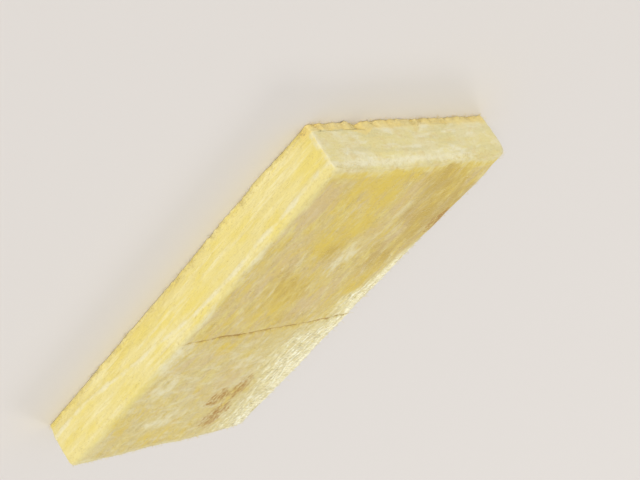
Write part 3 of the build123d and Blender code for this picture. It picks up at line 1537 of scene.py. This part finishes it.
@dataclass
class LooseFibres:
    """Fibres that stand out of the arrises and lie loose on the faces."""

    GROWTHS = (
        FibreGrowth("back_edge_fringe", 26000, 4, 17, 0.6, 0.50, 12, (0, 0, 0), 3),
        FibreGrowth("back_edge_tufts", 42000, 5, 17, 0.7, 0.45, 10, (0, 0, 0), 4),
        FibreGrowth("arris_fibres", 22000, 3, 11, 0.5, 0.55, 8, (0, 0, 0), 5),
        FibreGrowth("cut_face_fibres", 9000, 3, 9, 0.5, 0.80, 7, (0, 0, 0), 8),
        FibreGrowth("room_side_wisps", 5200, 6, 20, 0.6, 0.97, 9, (0, 1.2, 0.05), 13),
    )

    batt: FeltBatt
    finish: LooseFibreFinish = LooseFibreFinish()

    def patch(self, body: bpy.types.Object, wanted: np.ndarray) -> bpy.types.Mesh:
        """Copy the faces whose corners are all wanted.

        Args:
            body: The batt's body.
            wanted: One true or false for each of its points.

        Returns:
            A mesh of those faces alone.
        """
        mesh = body.data
        faces = [tuple(p.vertices) for p in mesh.polygons if all(wanted[v] for v in p.vertices)]
        used = sorted({v for face in faces for v in face})
        number = {v: k for k, v in enumerate(used)}
        part = bpy.data.meshes.new("patch")
        part.from_pydata(
            [mesh.vertices[v].co[:] for v in used], [], [tuple(number[v] for v in f) for f in faces]
        )
        part.update()
        return part

    def build(self, body: bpy.types.Object) -> list[bpy.types.Object]:
        """Grow each kind of fibre on its own part of the body.

        Args:
            body: The batt's body.

        Returns:
            The fibre pieces.
        """
        count = len(body.data.vertices)
        flat = np.empty(count * 3, np.float32)
        body.data.vertices.foreach_get("co", flat)
        spots = flat.reshape(-1, 3)
        x, y, z = spots.T
        half, end, top = self.batt.half, self.batt.end_y, self.batt.thickness
        outer = (np.abs(x) > half - 0.016) | (np.abs(y) > end - 0.016)
        lifted = outer & (z > 0.001)
        tufted = Noise(41).at(spots, (0.021, 0.021, 0.021)) > 0.52
        places = {
            "back_edge_fringe": lifted & (z < 0.022),
            "back_edge_tufts": lifted & (z < 0.030) & tufted,
            "arris_fibres": outer & (z > top - 0.024),
            "cut_face_fibres": outer & (z > 0.02) & (z < top - 0.015),
            "room_side_wisps": (z > top - 0.014) & (np.abs(x) < half - 0.01),
        }
        tree = FibreTree()
        finish = self.finish.build()
        return [tree.grow(self.patch(body, places[g.name]), g, finish) for g in self.GROWTHS]


@dataclass(frozen=True)
class Sun:
    """A soft sun: where it shines from, its strength and how wide it stands in the sky."""

    name: str
    towards: Size
    strength: float
    angle_deg: float

    def build(self) -> None:
        """Hang it."""
        data = bpy.data.lights.new(self.name, "SUN")
        data.energy = self.strength
        data.angle = math.radians(self.angle_deg)
        lamp = bpy.data.objects.new(self.name, data)
        lamp.rotation_mode = "QUATERNION"
        lamp.rotation_quaternion = Vector(self.towards).to_track_quat("Z", "Y")
        bpy.context.scene.collection.objects.link(lamp)


@dataclass(frozen=True)
class Studio:
    """A pale floor, soft light and the camera at the photo's angle to the slab."""

    floor_colour: str = "#E7E1DB"
    floor_roughness: float = 0.9
    floor_reach: float = 60.0
    suns: tuple[Sun, ...] = (
        Sun("key", (-0.70, 0.50, 0.42), 1.45, 24),
        Sun("far", (0.70, -0.50, 0.38), 0.50, 14),
    )
    fill_strength: float = 0.66
    camera_place: Size = (-3.5903, 3.0215, 1.7946)
    camera_target: Size = (-0.1751, 0.4086, 0.1600)
    camera_roll_deg: float = 147.625
    focal_px: float = 1600.0
    frame_px: float = 640.0
    sensor_mm: float = 36.0

    def floor(self) -> None:
        """Lay the floor."""
        mesh = bpy.data.meshes.new("floor")
        far = self.floor_reach
        corners = [(-far, -far, 0), (far, -far, 0), (far, far, 0), (-far, far, 0)]
        mesh.from_pydata(corners, [], [(0, 1, 2, 3)])
        material = bpy.data.materials.new("pale_floor")
        material.use_nodes = True
        shader = next(n for n in material.node_tree.nodes if n.type == "BSDF_PRINCIPLED")
        shader.inputs["Base Color"].default_value = linear(self.floor_colour)
        shader.inputs["Roughness"].default_value = self.floor_roughness
        mesh.materials.append(material)
        floor = bpy.data.objects.new("floor", mesh)
        bpy.context.scene.collection.objects.link(floor)

    def camera(self) -> None:
        """Set the camera, rolled so that the slab stands in the frame as in the photo."""
        data = bpy.data.cameras.new("camera")
        data.sensor_width = self.sensor_mm
        data.lens = self.focal_px * data.sensor_width / self.frame_px
        data.clip_end = 200.0
        camera = bpy.data.objects.new("camera", data)
        place, target = Vector(self.camera_place), Vector(self.camera_target)
        level = (target - place).to_track_quat("-Z", "Y").to_matrix().to_4x4()
        roll = Matrix.Rotation(math.radians(self.camera_roll_deg), 4, "Z")
        camera.matrix_world = Matrix.Translation(place) @ level @ roll
        bpy.context.scene.collection.objects.link(camera)
        bpy.context.scene.camera = camera


    def world(self) -> None:
        """Fill the studio with even light, and show white beyond the floor."""
        world = bpy.data.worlds.new("studio")
        world.use_nodes = True
        tree = world.node_tree
        tree.nodes.clear()
        add = partial(add_node, tree)
        rays = add("ShaderNodeLightPath").outputs
        seen = rays["Is Camera Ray"]
        for kind in ("Is Glossy Ray", "Is Transmission Ray"):
            links = {0: seen, 1: rays[kind]}
            seen = add("ShaderNodeMath", {"operation": "MAXIMUM"}, links).outputs[0]
        fill, white = (
            add("ShaderNodeBackground", {"Color": linear("#FFFFFF"), "Strength": strength})
            for strength in (self.fill_strength, 1.0)
        )
        links = {FACTOR: seen, 1: fill.outputs[0], 2: white.outputs[0]}
        mix = add("ShaderNodeMixShader", None, links)
        add("ShaderNodeOutputWorld", None, {0: mix.outputs[0]})
        bpy.context.scene.world = world

    def build(self) -> None:
        """Set the whole studio."""
        self.floor()
        self.camera()
        for sun in self.suns:
            sun.build()
        self.world()
        bpy.context.scene.view_settings.view_transform = "Standard"


def main() -> None:
    """Build the studio, the batt and its loose fibres, and tie them to the frame."""
    logging.basicConfig(level=logging.INFO, format="%(name)s: %(message)s")
    Studio().build()
    felt = FeltBatt()
    body = felt.build(FeltFinish())
    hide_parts("glass_wool_batt")
    for piece in [body, *LooseFibres(felt).build(body)]:
        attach(piece, "root")
        piece.data.calc_loop_triangles()
        log.info("%s has %d triangles", piece.name, len(piece.data.loop_triangles))


if __name__ == "__main__":
    main()
